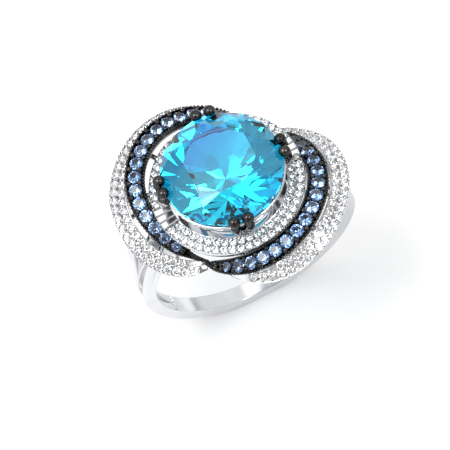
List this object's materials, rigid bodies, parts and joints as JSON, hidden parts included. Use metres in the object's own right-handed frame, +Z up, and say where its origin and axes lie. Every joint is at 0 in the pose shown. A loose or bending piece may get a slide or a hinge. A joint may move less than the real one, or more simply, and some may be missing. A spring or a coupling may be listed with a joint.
{
  "type": "cocktail ring",
  "caption": "Finger ring with a large round claw-set stone over a paved halo, wrapped by swirling dark and white stone-set ribbons on a split-shoulder band.",
  "frame": {"origin": "centre of the finger hole, midway along it", "axes": "+Z up through the middle of the centre stone, +Y along the finger, +X across the shoulders"},
  "size_m": [0.0194, 0.0184, 0.025],
  "materials": {
    "polished_silver": "polished",
    "black_rhodium": "polished",
    "blue_gem": "polished",
    "steel_blue_gem": "polished",
    "white_gem": "polished"
  },
  "bodies": {
    "root": {"shank": "polished_silver", "left_shoulders": "polished_silver", "right_shoulders": "polished_silver", "gallery_base": "polished_silver", "gallery_struts": "polished_silver", "basket_rail": "polished_silver", "seat_rail": "polished_silver", "back_claw": "black_rhodium", "left_claw": "black_rhodium", "front_claw": "black_rhodium", "right_claw": "black_rhodium", "centre_stone": "blue_gem", "halo_band": "polished_silver", "halo_stones": "white_gem", "halo_grains": "polished_silver", "halo_posts": "polished_silver", "left_dark_band": "black_rhodium", "right_dark_band": "black_rhodium", "left_blue_stones": "steel_blue_gem", "right_blue_stones": "steel_blue_gem", "left_dark_grains": "black_rhodium", "right_dark_grains": "black_rhodium", "left_white_band": "polished_silver", "right_white_band": "polished_silver", "left_white_stones": "white_gem", "right_white_stones": "white_gem", "left_white_grains": "polished_silver", "right_white_grains": "polished_silver", "left_ribbon_pins": "polished_silver", "right_ribbon_pins": "polished_silver", "left_window_bars": "polished_silver", "right_window_bars": "polished_silver"}
  },
  "joints": []
}
